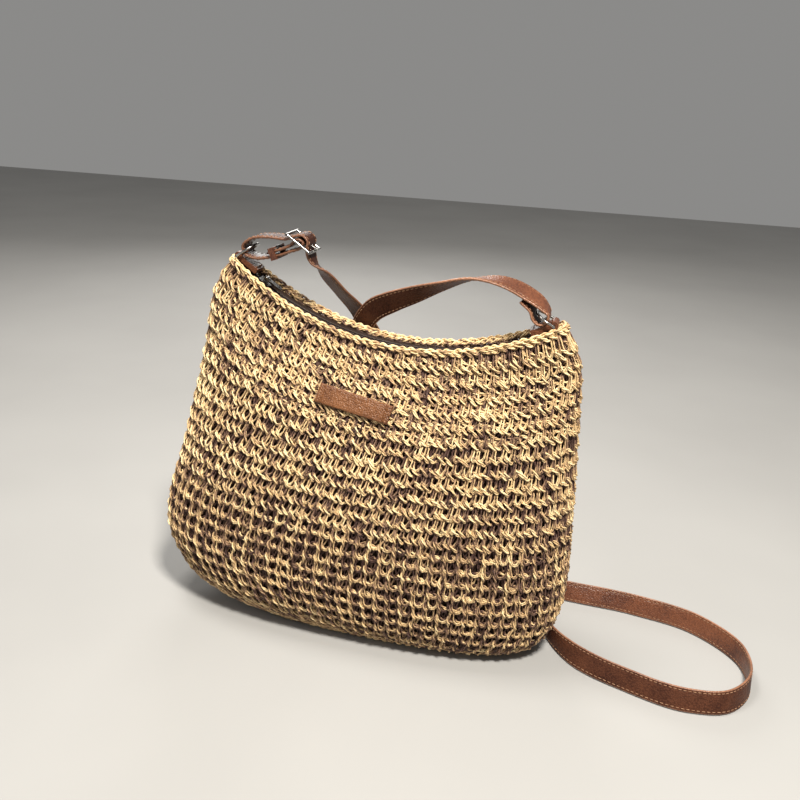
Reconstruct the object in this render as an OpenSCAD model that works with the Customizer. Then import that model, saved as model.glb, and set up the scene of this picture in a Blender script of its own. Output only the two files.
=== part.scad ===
// Crocheted paper-straw hobo bag with a leather shoulder strap, resting on a flat surface.
// Millimetres. +Z up, +X to the wearer's left, the front faces -Y.
// The origin is on the surface, under the middle of the bag's box.

/* [Body] */
// Widest width of the bag body
body_w = 352; // [320:1:380]
// Widest depth of the bag body, front to back
body_d = 116; // [100:1:130]
// Height of the middle of the line between the two mouth corners
mouth_z = 295; // [270:1:320]
// How far the mouth stands to the right of the middle of the body
lean = 23.5; // [0:0.5:30]
// How far the line between the mouth corners tips down to the right, in degrees
mouth_tilt = 6.1; // [0:0.1:8]
// Thickness of the crocheted wall
wall = 4.4; // [3:0.1:6]

/* [Mouth and zip] */
// How far the mouth's middle sags below the line between its corners
mouth_sag = 42; // [35:1:50]
// Half the depth of the mouth, outside the braided edge
mouth_half = 16; // [15:0.5:18]
// Half the width of the zip's two rows of coil
coil_half = 3.1; // [2.6:0.1:3.2]
// Length of the zip's pull tab
pull_len = 14; // [8:1:15]

/* [Strap] */
// Width of the strap
strap_w = 18; // [14:0.5:18]
// Thickness of the strap, two leather layers
strap_t = 2.2; // [1.6:0.1:2.2]

/* [Hardware] */
// Diameter of the D-rings' wire
ring_wire = 2.0; // [1.6:0.1:2.2]
// Distance from a D-ring's bar to the top of its bow
ring_depth = 15; // [14.5:0.5:15]
// Diameter of the buckle's wire
buckle_wire = 2.2; // [1.8:0.1:2.2]

/* [Label] */
// Width of the leather label
label_w = 60; // [40:1:70]
// Height of the leather label
label_h = 14; // [12:1:20]
// Thickness of the leather label
label_t = 2.2; // [1.5:0.1:3]

/* [Hidden] */
$fn = 48;

// Colours
STRAW = [0.78, 0.66, 0.46];
LEATHER = [0.36, 0.18, 0.10];
DARK_TAPE = [0.13, 0.08, 0.06];
STEEL = [0.78, 0.79, 0.80];
THREAD = [0.45, 0.25, 0.15];
CLOTH = [0.20, 0.13, 0.10];

// ---------------------------------------------------------------- body form
// Stations of the body from the base (0) to the mouth (1). Each row is: station, half width
// and half depth as shares of the widest, shift towards the mouth's side as a share of lean,
// height, tilt and sag as shares of the mouth's, and the squareness of the section.
STATIONS = [
    [0.00, 0.66, 0.58, 0.70, 0.00, 0.00, 0.00, 2.6],
    [0.05, 0.85, 0.78, 0.28, 0.04, 0.33, 0.00, 2.6],
    [0.13, 0.95, 0.93, 0.14, 0.11, 0.42, 0.02, 2.5],
    [0.26, 1.00, 1.00, 0.06, 0.23, 0.50, 0.10, 2.4],
    [0.52, 0.94, 0.92, 0.45, 0.48, 0.66, 0.33, 2.3],
    [0.78, 0.87, 0.64, 0.79, 0.75, 0.85, 0.64, 2.2],
    [0.92, 0.83, 0.38, 0.91, 0.90, 0.95, 0.86, 3.0],
    [1.00, 0.74, mouth_half / (body_d / 2), 1.00, 1.00, 1.00, 1.00, 5.0]
];
LAST = len(STATIONS) - 1;

function station_of(v, i = 0) = i >= LAST - 1 || v < STATIONS[i + 1][0] ? i : station_of(v, i + 1);

function slope(c, i) =
    let (a = max(i - 1, 0), b = min(i + 1, LAST))
    (STATIONS[b][c] - STATIONS[a][c]) / (STATIONS[b][0] - STATIONS[a][0]);

// Value of column c at v, on a smooth curve through the stations
function form(c, v) =
    let (
        i = station_of(v),
        h = STATIONS[i + 1][0] - STATIONS[i][0],
        t = (v - STATIONS[i][0]) / h
    )
    (1 + 2 * t) * (1 - t) * (1 - t) * STATIONS[i][c]
    + t * (1 - t) * (1 - t) * h * slope(c, i)
    + t * t * (3 - 2 * t) * STATIONS[i + 1][c]
    + t * t * (t - 1) * h * slope(c, i + 1);

function power(base, p) = sign(base) * pow(abs(base), p);

// Point on the body at angle a and station v, inset from the outer surface and lifted
function skin(a, v, inset = 0, lift = 0) =
    let (
        half_w = form(1, v) * body_w / 2,
        half_d = form(2, v) * body_d / 2,
        p = 2 / form(7, v),
        x = (half_w - inset) * power(cos(a), p),
        y = (half_d - inset) * power(sin(a), p),
        z = -form(6, v) * mouth_sag * (1 - pow(x / half_w, 2)) + lift,
        tilt = form(5, v) * mouth_tilt
    )
    [
        form(3, v) * lean + x * cos(tilt) + z * sin(tilt),
        y,
        form(4, v) * mouth_z - x * sin(tilt) + z * cos(tilt)
    ];

// Angle for skin() that spaces the points of a squarish ring evenly, for an even share of a turn
function ring_angle(turn, v) =
    let (p = form(7, v) / 2)
    atan2(power(sin(turn), p), power(cos(turn), p));

function ring_point(turn, v, inset = 0, lift = 0) = skin(ring_angle(turn, v), v, inset, lift);

// Closed skin over equal rings of n points each, with a flat cap on the first and the last
module loft(rings) {
    n = len(rings[0]);
    count = len(rings);
    polyhedron(
        points = [for (ring = rings) each ring],
        faces = concat(
            [[for (i = [0:n - 1]) i]],
            [for (k = [0:count - 2]) for (i = [0:n - 1])
                [k * n + i, (k + 1) * n + (i + 1) % n, k * n + (i + 1) % n]],
            [for (k = [0:count - 2]) for (i = [0:n - 1])
                [k * n + i, (k + 1) * n + i, (k + 1) * n + (i + 1) % n]],
            [[for (i = [n - 1:-1:0]) (count - 1) * n + i]]
        )
    );
}

// How far the inside of the floor is above the outside, fading out up the wall
function floor_lift(v, inset) = inset * max(0, 1 - v / 0.26);

// Cup between two insets, whose top edge at station v_top is dropped by drop
module cup(inset_out, inset_in, sides, v_list, drop) {
    outer = [for (v = v_list)
        [for (i = [0:sides - 1])
            ring_point(i * 360 / sides, v, inset_out, floor_lift(v, inset_out) - (v == 1 ? drop : 0))]];
    inner = [for (k = [len(v_list) - 1:-1:0])
        [for (i = [0:sides - 1])
            let (v = v_list[k])
            ring_point(i * 360 / sides, v, inset_in, floor_lift(v, inset_in) - (v == 1 ? drop : 0))]];
    loft(concat(outer, inner));
}

edge_r = wall / 2;
edge_gap = 0.7;
SHELL_STEPS = [0, 0.02, 0.05, 0.09, 0.13, 0.19, 0.26, 0.34, 0.43, 0.52, 0.61, 0.70, 0.78, 0.85, 0.92,
    0.965, 1];

module crochet_shell() {
    color(STRAW)
        cup(0, wall, 60, SHELL_STEPS, 2 * edge_r + edge_gap);
}

lining_gap = 0.9;
lining_t = 0.8;
LINING_STEPS = [0, 0.02, 0.05, 0.09, 0.13, 0.19, 0.26, 0.34, 0.43, 0.52, 0.61, 0.70, 0.78, 0.85, 0.92, 0.95];

module lining() {
    color(CLOTH)
        cup(wall + lining_gap, wall + lining_gap + lining_t, 60, LINING_STEPS, 0);
}

// Tube of radius r with flat_sides sides along a closed loop of points
module closed_tube(path, r, flat_sides) {
    n = len(path);
    rings = [for (i = [0:n - 1])
        let (
            ahead = path[(i + 1) % n] - path[(i + n - 1) % n],
            t = ahead / norm(ahead),
            side_raw = cross(t, [0, 0, 1]),
            side = side_raw / norm(side_raw),
            up = cross(side, t)
        )
        [for (k = [0:flat_sides - 1])
            let (a = k * 360 / flat_sides)
            path[i] + r * (cos(a) * side + sin(a) * up)]];
    polyhedron(
        points = [for (ring = rings) each ring],
        faces = [for (i = [0:n - 1]) for (k = [0:flat_sides - 1])
            let (j = (i + 1) % n, m = (k + 1) % flat_sides)
            [i * flat_sides + k, i * flat_sides + m, j * flat_sides + m, j * flat_sides + k]]
    );
}

edge_steps = 88;

module rim_edging() {
    color(STRAW)
        difference() {
            closed_tube(
                [for (i = [0:edge_steps - 1]) ring_point(i * 360 / edge_steps, 1, edge_r, -edge_r)],
                edge_r, 8
            );
            // Dent where the left ring's tab lies on the edging
            at_arc(LEFT_BAR)
                translate([0, 0, -bar_arc_r])
                    rotate([90, 0, 0])
                        cylinder(r = barrel_r + tab_gap, h = 2 * tab_half + 1.2, center = true);
        }
}

// ---------------------------------------------------------------- mouth frame
// The mouth's edge is close to a circle's arc, whose centre is above the bag. The zip, its
// slider's path and the ring tabs are all drawn round that centre.
corner_half = 0.74 * body_w / 2;
rim_r = (pow(corner_half, 2) + pow(mouth_sag, 2)) / (2 * mouth_sag);
arc_up = rim_r - mouth_sag;
tape_top_r = rim_r + 2 * edge_r + 0.3;
tape_t = 0.6;
coil_t = 1.6;
coil_gap = 1.0;
zip_end = 30;

// Frame at the middle of the line between the mouth corners
module mouth() {
    translate([lean, 0, mouth_z])
        rotate([0, mouth_tilt, 0])
            children();
}

// Frame of the arc at angle phi, positive to the right: z is minus the radius, +x runs along
module at_arc(phi) {
    mouth()
        translate([0, 0, arc_up])
            rotate([0, -phi, 0])
                children();
}

// Bar bent along the arc, between two radii, two depths and two angles
module arc_bar(r0, r1, y0, y1, phi0, phi1) {
    mouth()
        translate([0, 0, arc_up])
            rotate([90, 0, 0])
                rotate([0, 0, phi0 - 90])
                    rotate_extrude(angle = phi1 - phi0, $fn = 180)
                        translate([r0, -y1])
                            square([r1 - r0, y1 - y0]);
}

// Plan of the mouth inside the wall
module mouth_plan(inset) {
    steps = 48;
    polygon([for (i = [0:steps - 1])
        let (a = i * 360 / steps)
        [
            (corner_half - inset) * power(cos(a), 2 / 5),
            (mouth_half - inset) * power(sin(a), 2 / 5)
        ]]);
}

// side is -1 for the front tape and 1 for the back tape
module zip_tape(side) {
    y0 = side < 0 ? -mouth_half : coil_gap;
    y1 = side < 0 ? -coil_gap : mouth_half;
    color(DARK_TAPE)
        intersection() {
            arc_bar(tape_top_r, tape_top_r + tape_t, y0, y1, -zip_end, zip_end - 1);
            mouth()
                translate([0, 0, -mouth_sag - 20])
                    linear_extrude(height = 60)
                        mouth_plan(wall + 0.4);
        }
}

module zip_tape_front() {
    zip_tape(-1);
}

module zip_tape_back() {
    zip_tape(1);
}

coil_start = -29.2;
coil_end = 25.6;

module zip_coil(side) {
    y0 = side < 0 ? -coil_half : coil_gap;
    y1 = side < 0 ? -coil_gap : coil_half;
    color(DARK_TAPE)
        arc_bar(tape_top_r - coil_t, tape_top_r, y0, y1, coil_start, coil_end);
}

module zip_coil_front() {
    zip_coil(-1);
}

module zip_coil_back() {
    zip_coil(1);
}

stop_len = 0.6;

// One metal clip on the end of each row of coil
module zip_top_stops() {
    color(STEEL)
        for (side = [-1, 1])
            arc_bar(
                tape_top_r - coil_t, tape_top_r,
                side < 0 ? -coil_half : coil_gap, side < 0 ? -coil_gap : coil_half,
                coil_start - stop_len, coil_start
            );
}

// One wide clip across both rows
module zip_bottom_stop() {
    color(STEEL)
        arc_bar(tape_top_r - coil_t, tape_top_r, -coil_half, coil_half, coil_end, coil_end + stop_len);
}

slider_phi = -27.4;
slider_half = 1.3;
play = 0.3;
plate_t = 1.2;
flange_t = 1.0;
flange_in = coil_half + play;
plate_r = tape_top_r - coil_t - play;
bail_half = 0.8;
pin_up = 2.4;
pin_r = 0.8;
pin_play = 0.05;

module zip_slider() {
    a0 = slider_phi - slider_half;
    a1 = slider_phi + slider_half;
    color(STEEL) {
        // Top plate, its turned-down edges, the bridge between the rows, and the bottom plate
        arc_bar(plate_r - plate_t, plate_r, -flange_in - flange_t, flange_in + flange_t, a0, a1);
        for (side = [-1, 1])
            arc_bar(
                plate_r - 0.1, tape_top_r - play,
                side < 0 ? -flange_in - flange_t : flange_in, side < 0 ? -flange_in : flange_in + flange_t,
                a0, a1
            );
        arc_bar(
            plate_r - 0.1, tape_top_r + tape_t + play + 0.1,
            -coil_gap + play, coil_gap - play, a0, a0 + 0.8
        );
        arc_bar(
            tape_top_r + tape_t + play, tape_top_r + tape_t + play + 0.8,
            -flange_in - flange_t, flange_in + flange_t, a0, a1
        );
        // Bail that holds the pull tab's pin
        at_arc(slider_phi)
            difference() {
                translate([-2.2, -bail_half, -plate_r + plate_t - 0.1])
                    cube([4.4, 2 * bail_half, pin_up + 1.7]);
                translate([0, 0, -plate_r + plate_t + pin_up])
                    rotate([90, 0, 0])
                        cylinder(r = pin_r + pin_play, h = 4 * bail_half, center = true);
            }
    }
}

cheek_r = 1.6;
cheek_in = bail_half + play;
pull_half = 2.5;
pull_t = 1.2;

module zip_pull() {
    color(STEEL)
        at_arc(slider_phi)
            translate([0, 0, -plate_r + plate_t + pin_up]) {
                // Pin through the bail, two cheeks and the tab, whose end is round with a hole
                rotate([90, 0, 0])
                    cylinder(r = pin_r, h = 2 * pull_half, center = true);
                for (side = [-1, 1])
                    translate([0, side * (cheek_in + pull_half) / 2, 0])
                        rotate([90, 0, 0])
                            linear_extrude(height = pull_half - cheek_in, center = true)
                                difference() {
                                    union() {
                                        circle(r = cheek_r);
                                        translate([0, -pull_t / 2])
                                            square([4, pull_t]);
                                    }
                                    circle(r = pin_r - 0.05);
                                }
                difference() {
                    translate([3, 0, -pull_t / 2])
                        linear_extrude(height = pull_t)
                            union() {
                                translate([0, -pull_half])
                                    square([pull_len - 3 - pull_half, 2 * pull_half]);
                                translate([pull_len - 3 - pull_half, 0])
                                    circle(r = pull_half);
                            }
                    translate([pull_len - pull_half, 0, 0])
                        cylinder(r = 1.2, h = 4, center = true);
                }
            }
}

// ---------------------------------------------------------------- ring tabs and D-rings
tab_half = 7;
tab_gap = 0.3;
tab_out_r = rim_r - tab_gap;
tab_t = 4.2;
bar_r = ring_wire / 2;
bore_play = 0.06;
barrel_r = bar_r + bore_play + 1.85;
bar_arc_r = tab_out_r - tab_t / 2;
LEFT_BAR = -34.4;
RIGHT_BAR = 33.4;
LEFT_TAB_END = -29.6;
RIGHT_TAB_END = 28.8;
LEFT_RING_AIM = 35;
RIGHT_RING_AIM = 152;

// Leather strip folded round a D-ring's bar, its two layers lying along the mouth's edge
module ring_tab(bar_phi, end_phi) {
    past_bar = bar_phi + 0.4 * sign(bar_phi);
    lo = min(past_bar, end_phi);
    hi = max(past_bar, end_phi);
    color(LEATHER)
        difference() {
            union() {
                arc_bar(tab_out_r - tab_t, tab_out_r, -tab_half, tab_half, lo, hi);
                at_arc(bar_phi)
                    translate([0, 0, -bar_arc_r])
                        rotate([90, 0, 0])
                            cylinder(r = barrel_r, h = 2 * tab_half + 0.4, center = true);
            }
            at_arc(bar_phi)
                translate([0, 0, -bar_arc_r])
                    rotate([90, 0, 0])
                        cylinder(r = bar_r + bore_play, h = 3 * tab_half, center = true);
        }
}

module ring_tab_left() {
    ring_tab(LEFT_BAR, LEFT_TAB_END);
}

module ring_tab_right() {
    ring_tab(RIGHT_BAR, RIGHT_TAB_END);
}

// Row of thread stitches across a tab, lying on its top face
module tab_stitches(phi) {
    color(THREAD)
        for (k = [-2:2])
            at_arc(phi)
                translate([0, k * 2.4, -tab_out_r + tab_t + 0.35])
                    rotate([90, 0, 0])
                        cylinder(r = 0.35, h = 1.7, center = true, $fn = 16);
}

module tab_stitches_left() {
    tab_stitches(LEFT_TAB_END - 0.6);
}

module tab_stitches_right() {
    tab_stitches(RIGHT_TAB_END + 0.6);
}

bow_r = strap_w / 2 + 0.3 + bar_r;

// D-ring in its bar's frame: the bar lies along y and the bow reaches to +x
module d_ring_shape() {
    leg = ring_depth - bow_r;
    bow_wire = bar_r - 0.05;
    rotate([90, 0, 0])
        cylinder(r = bar_r, h = 2 * (bow_r + bar_r), center = true);
    for (side = [-1, 1])
        translate([0, side * bow_r, 0])
            rotate([0, 90, 0])
                cylinder(r = bow_wire, h = leg);
    translate([leg, 0, 0])
        rotate([0, 0, -90])
            rotate_extrude(angle = 180)
                translate([bow_r, 0])
                    circle(r = bow_wire);
}

// aim is the bow's direction, in degrees up from +X
module d_ring(bar_phi, aim) {
    color(STEEL)
        at_arc(bar_phi)
            translate([0, 0, -bar_arc_r])
                rotate([0, bar_phi - mouth_tilt - aim, 0])
                    d_ring_shape();
}

module d_ring_left() {
    d_ring(LEFT_BAR, LEFT_RING_AIM);
}

module d_ring_right() {
    d_ring(RIGHT_BAR, RIGHT_RING_AIM);
}

// ---------------------------------------------------------------- buckle
BUCKLE = [-50, 0, 321];
BUCKLE_TILT = 34;
buckle_r = buckle_wire / 2;
frame_half_len = 11;
frame_half_w = strap_w / 2 + 0.6 + buckle_r;

// Frame of the buckle: x along the strap, z out of it
module at_buckle() {
    translate(BUCKLE)
        rotate([0, BUCKLE_TILT, 0])
            children();
}

module buckle_frame() {
    color(STEEL)
        at_buckle() {
            for (x = [-frame_half_len, frame_half_len])
                translate([x, 0, 0])
                    rotate([90, 0, 0])
                        cylinder(r = buckle_r, h = 2 * (frame_half_w + buckle_r), center = true);
            rotate([90, 0, 0])
                cylinder(r = buckle_r, h = 2 * frame_half_w, center = true);
            for (side = [-1, 1])
                translate([0, side * frame_half_w, 0])
                    rotate([0, 90, 0])
                        cylinder(r = buckle_r - 0.08, h = 2 * frame_half_len, center = true);
        }
}

prong_r = 0.9;
eye_r = 2.0;
eye_half = 1.3;
prong_rest = buckle_r + prong_r + 0.12;

module buckle_prong() {
    rise = atan((prong_rest - 0.5) / frame_half_len);
    color(STEEL)
        at_buckle()
            difference() {
                union() {
                    rotate([90, 0, 0])
                        cylinder(r = eye_r, h = 2 * eye_half, center = true);
                    translate([0, 0, 0.5])
                        rotate([0, 90 - rise, 0])
                            cylinder(r = prong_r, h = frame_half_len + 1.6);
                }
                rotate([90, 0, 0])
                    cylinder(r = buckle_r + bore_play, h = 4 * eye_half, center = true);
            }
}

// Small leather band that holds the folded end of the strap
KEEPER = [-71, 0, 311.3];
KEEPER_TILT = 20;
keeper_len = 5;
keeper_t = 1.3;

module strap_keeper() {
    in_w = strap_w + 0.8;
    in_t = 2 * strap_t + 2.4;
    color(LEATHER)
        translate(KEEPER)
            rotate([0, -KEEPER_TILT, 0])
                difference() {
                    cube([keeper_len, in_w + 2 * keeper_t, in_t + 2 * keeper_t], center = true);
                    cube([keeper_len + 1, in_w, in_t], center = true);
                }
}

// ---------------------------------------------------------------- strap
// Route of the strap's middle from its folded end at the buckle, round the left D-ring,
// through the buckle, down behind the bag, round a loop on the surface, up behind the bag
// again and over to the right D-ring. Each row is a point and the direction of the width.
ACROSS = [0, 1, 0];
ON_EDGE = [0, 0, -1];
LEANING = [0, -0.38, -0.92];
ROUTE = [
    [[-76, 0, 311.2], ACROSS],
    [[-58, 0, 318.4], ACROSS],
    [[-50.8, 0, 323.7], ACROSS],
    [[-47, 0, 321.6], ACROSS],
    [[-49, 0, 318], ACROSS],
    [[-58, 0, 313.8], ACROSS],
    [[-75, 0, 308], ACROSS],
    [[-88, 0, 306.6], ACROSS],
    [[-94.5, 0, 309.2], ACROSS],
    [[-96.4, 0, 315], ACROSS],
    [[-92, 0, 319.6], ACROSS],
    [[-74, 0, 323.4], ACROSS],
    [[-60.5, 0, 323.2], ACROSS],
    [[-54, 0, 325.7], ACROSS],
    [[-47.2, 0, 326.7], ACROSS],
    [[-43.4, 0, 322.6], ACROSS],
    [[-44.4, 0, 316.6], ACROSS],
    [[-43, 0.5, 310], ACROSS],
    [[-34, 5, 297], [-0.39, 0.77, -0.5]],
    [[-23.5, 13, 282], [-0.5, 0.7, -0.5]],
    [[-13.5, 23.5, 267], [-0.65, 0.55, -0.5]],
    [[-6, 33, 250], [-0.8, 0.35, -0.5]],
    [[3, 46, 222], [-0.85, 0.1, -0.5]],
    [[16, 60, 185], [-0.9, 0, -0.4]],
    [[34, 69, 120], [-0.9, 0, -0.4]],
    [[54, 75, 60], [-0.85, 0, -0.5]],
    [[80, 80, 23], [-0.5, 0, -0.85]],
    [[118, 80, 10.4], ON_EDGE],
    [[145, 79.6, 9.3], ON_EDGE],
    [[178, 78, 8.9], LEANING],
    [[240, 75, 8.9], LEANING],
    [[291, 62, 8.9], LEANING],
    [[324, 28, 9], LEANING],
    [[325, -8, 9], LEANING],
    [[306, -33, 8.9], LEANING],
    [[278, -40, 8.9], LEANING],
    [[232, -31, 8.9], LEANING],
    [[187, -10, 8.9], LEANING],
    [[169, 10, 9.2], ON_EDGE],
    [[160, 36, 9.2], ON_EDGE],
    [[138, 60, 9.2], ON_EDGE],
    [[96, 71, 10.6], [-0.1, 0, -0.99]],
    [[46, 74, 30], [-0.5, 0, -0.85]],
    [[12, 70, 80], [-0.9, 0, -0.4]],
    [[-4, 66, 130], [-1, 0, -0.1]],
    [[-14, 52, 190], [-1, 0, 0.1]],
    [[-14, 34, 234], [-0.9, 0, 0.3]],
    [[-7, 20.5, 257], [-0.6, -0.1, 0.8]],
    [[3, 14, 270], [-0.3, -0.15, 0.94]],
    [[19, 7, 280], [-0.35, -0.3, 0.88]],
    [[36, 3, 288], [-0.3, -0.55, 0.76]],
    [[57, 1, 297], [-0.15, -0.85, 0.5]],
    [[82, 0, 305.5], [0, -0.98, 0.2]],
    [[104, 0, 305.5], [-0.1, -0.97, -0.2]],
    [[122, 0, 299], [-0.25, -0.92, -0.25]],
    [[134, 0, 291.5], [-0.2, -0.96, -0.12]],
    [[139, 0, 285.4], [0, -1, 0]],
    [[137.4, 0, 280.2], [0, -1, 0]],
    [[133, 0, 278.4], [0, -1, 0]],
    [[129, 0, 280.8], [0, -1, 0]],
    [[126.6, 0.4, 288.4], [-0.15, -0.97, -0.1]],
    [[120, 0.4, 295.6], [-0.25, -0.92, -0.25]]
];
ROUTE_LAST = len(ROUTE) - 1;

function unit(a) = a / norm(a);
function route_at(i) = ROUTE[max(0, min(ROUTE_LAST, i))];

// Point or width direction (column c) between row i and the next, at share t
function along(c, i, t) =
    let (
        p0 = route_at(i - 1)[c], p1 = route_at(i)[c], p2 = route_at(i + 1)[c], p3 = route_at(i + 2)[c],
        d1 = norm(route_at(i)[0] - route_at(i - 1)[0]),
        d2 = norm(route_at(i + 1)[0] - route_at(i)[0]),
        d3 = norm(route_at(i + 2)[0] - route_at(i + 1)[0]),
        m1 = d1 == 0 ? p2 - p1 : d2 * ((p1 - p0) / d1 - (p2 - p0) / (d1 + d2) + (p2 - p1) / d2),
        m2 = d3 == 0 ? p2 - p1 : d2 * ((p2 - p1) / d2 - (p3 - p1) / (d2 + d3) + (p3 - p2) / d3)
    )
    (1 + 2 * t) * (1 - t) * (1 - t) * p1 + t * (1 - t) * (1 - t) * m1
    + t * t * (3 - 2 * t) * p2 + t * t * (t - 1) * m2;

function section(p, t, w_raw) =
    let (
        w = unit(w_raw - (w_raw * t) * t),
        n = cross(t, w),
        a = strap_w / 2,
        b = strap_t / 2,
        c = 0.6
    )
    [
        p + a * w + (b - c) * n, p + (a - c) * w + b * n, p - (a - c) * w + b * n, p - a * w + (b - c) * n,
        p - a * w - (b - c) * n, p - (a - c) * w - b * n, p + (a - c) * w - b * n, p + a * w - (b - c) * n
    ];

function tangent(i, t) = unit(
    along(0, i, min(t + 0.05, 1)) - along(0, i, max(t - 0.05, 0))
);

module strap_tube() {
    rings = concat(
        [for (i = [0:ROUTE_LAST - 1])
            let (
                gap = norm(route_at(i + 1)[0] - route_at(i)[0]),
                steps = gap > 30 ? 2 : gap < 5.5 ? 3 : gap < 9 ? 2 : 1
            )
            for (t = [0:1 / steps:0.99])
                section(along(0, i, t), tangent(i, t), along(1, i, t))],
        [section(ROUTE[ROUTE_LAST][0], tangent(ROUTE_LAST - 1, 1), ROUTE[ROUTE_LAST][1])]
    );
    loft(rings);
}

// Side view of the slot through both layers of the fold, clear of the strap's next layer
EYE_SLOT = [
    [-52.5, 314], [-52.5, 318.5], [-54.4, 319.5], [-54.4, 323.7], [-51.2, 324.8],
    [-48, 325.1], [-45.2, 325.1], [-45.2, 320.5], [-46.8, 317], [-46.8, 314]
];

// The slot with rounded corners
module eye_slot() {
    slot_w = 2 * eye_half + 0.8;
    rotate([90, 0, 0]) {
        linear_extrude(height = slot_w, center = true)
            polygon(EYE_SLOT);
        for (i = [0:len(EYE_SLOT) - 1])
            hull()
                for (corner = [EYE_SLOT[i], EYE_SLOT[(i + 1) % len(EYE_SLOT)]])
                    translate(corner)
                        cylinder(r = 0.2, h = slot_w, center = true, $fn = 16);
    }
}

module strap() {
    color(LEATHER)
        difference() {
            strap_tube();
            // Slot for the prong's eye in the fold, and the punched hole that the prong stands in
            eye_slot();
            at_buckle()
                translate([7, 0, 2.2])
                    cube([7, 3.4, 7], center = true);
        }
}

// ---------------------------------------------------------------- label
label_v = 0.83;
label_off = -13.3;
label_gap = 0.6;
label_tilt = -10;
LABEL_COLS = 12;
LABEL_ROWS = 3;
// Rise of the body per unit of station at the label, and how its rows fall away to the right
LABEL_RISE = 257;
LABEL_FALL = 0.13;
LABEL_CURVE = 0.0013;

// Body angle and station under a point of the label, from its centre in millimetres
function label_spot(x, z) =
    let (
        c = cos(label_tilt), s = sin(label_tilt), u = x * c - z * s, w = x * s + z * c,
        v = label_v + (w + LABEL_FALL * u - LABEL_CURVE * u * u) / LABEL_RISE
    )
    [360 - acos(power((label_off + u) / (form(1, v) * body_w / 2), form(7, v) / 2)), v];

function outward(a, v) =
    unit(cross(skin(a + 1, v) - skin(a - 1, v), skin(a, v + 0.01) - skin(a, v - 0.01)));

function over_skin(x, z, h) =
    let (spot = label_spot(x, z))
    skin(spot[0], spot[1]) + h * outward(spot[0], spot[1]);

module label() {
    rings = [for (i = [0:LABEL_COLS])
        let (x = (i / LABEL_COLS - 0.5) * label_w)
        concat(
            [for (k = [0:LABEL_ROWS]) over_skin(x, (k / LABEL_ROWS - 0.5) * label_h, label_gap)],
            [for (k = [LABEL_ROWS:-1:0]) over_skin(x, (k / LABEL_ROWS - 0.5) * label_h, label_gap + label_t)]
        )];
    color(LEATHER)
        loft(rings);
}

// Two stitches at each corner of the label, lying on its face
module label_stitches() {
    color(THREAD)
        for (end = [-1, 1])
            for (z = [-5.4, -1.8, 1.8, 5.4]) {
                lift = label_gap + label_t + 0.45;
                p = over_skin(end * (label_w / 2 - 7), z - 1, lift);
                q = over_skin(end * (label_w / 2 - 7), z + 1, lift);
                d = q - p;
                translate(p)
                    rotate([0, acos(d[2] / norm(d)), atan2(d[1], d[0])])
                        cylinder(r = 0.35, h = norm(d), $fn = 16);
            }
}

crochet_shell();
rim_edging();
lining();
zip_tape_front();
zip_tape_back();
zip_coil_front();
zip_coil_back();
zip_top_stops();
zip_bottom_stop();
zip_slider();
zip_pull();
ring_tab_left();
ring_tab_right();
tab_stitches_left();
tab_stitches_right();
d_ring_left();
d_ring_right();
strap();
strap_keeper();
buckle_frame();
buckle_prong();
label();
label_stitches();
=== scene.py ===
import math

import bpy
import numpy as np
from mathutils import Matrix


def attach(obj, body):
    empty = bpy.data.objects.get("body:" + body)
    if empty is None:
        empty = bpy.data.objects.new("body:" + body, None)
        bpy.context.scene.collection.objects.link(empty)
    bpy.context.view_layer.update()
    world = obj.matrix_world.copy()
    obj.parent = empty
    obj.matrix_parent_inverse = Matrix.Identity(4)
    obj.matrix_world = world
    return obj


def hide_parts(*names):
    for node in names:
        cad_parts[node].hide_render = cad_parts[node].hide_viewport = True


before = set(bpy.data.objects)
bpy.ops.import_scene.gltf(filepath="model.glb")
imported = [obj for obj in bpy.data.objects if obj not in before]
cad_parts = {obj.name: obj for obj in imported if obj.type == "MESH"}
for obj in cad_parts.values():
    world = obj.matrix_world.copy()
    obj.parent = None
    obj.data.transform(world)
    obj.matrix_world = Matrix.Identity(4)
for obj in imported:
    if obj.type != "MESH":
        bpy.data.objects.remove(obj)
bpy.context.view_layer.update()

# Shapes are worked out in millimetres, as in the CAD; the camera, lights and floor are in metres
MM = 0.001
rng = np.random.default_rng(7)
TURN = 2 * np.pi


# ------------------------------------------------------------------ small helpers
def unit(a):
    """Vectors scaled to length 1."""
    return a / np.maximum(np.linalg.norm(a, axis=-1, keepdims=True), 1e-9)


def along(points):
    """Distance of each point from the first one, along the line through them."""
    return np.r_[0.0, np.cumsum(np.linalg.norm(np.diff(points, axis=0), axis=1))]


def columns_at(at, steps, table):
    """The three columns of table, read at the distances at."""
    return np.stack([np.interp(at, steps, table[:, c]) for c in range(3)], -1)


def axes_matrix(x, y, z, at):
    """A matrix with the given axes as columns, placed at a point."""
    m = Matrix.Identity(4)
    for i in range(3):
        m[i][0], m[i][1], m[i][2], m[i][3] = x[i], y[i], z[i], at[i]
    return m


def link(name, data):
    obj = bpy.data.objects.new(name, data)
    bpy.context.scene.collection.objects.link(obj)
    return obj


# ------------------------------------------------------------------ camera
CAMERA_AT = (0.1735, -0.571, 0.428)
CAMERA_YAW = math.radians(13.98)
CAMERA_PITCH = math.radians(20.85)
CAMERA_ROLL = math.radians(2.71)
CAMERA_LENS = 36.0
CAMERA_SENSOR = 36.0


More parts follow.
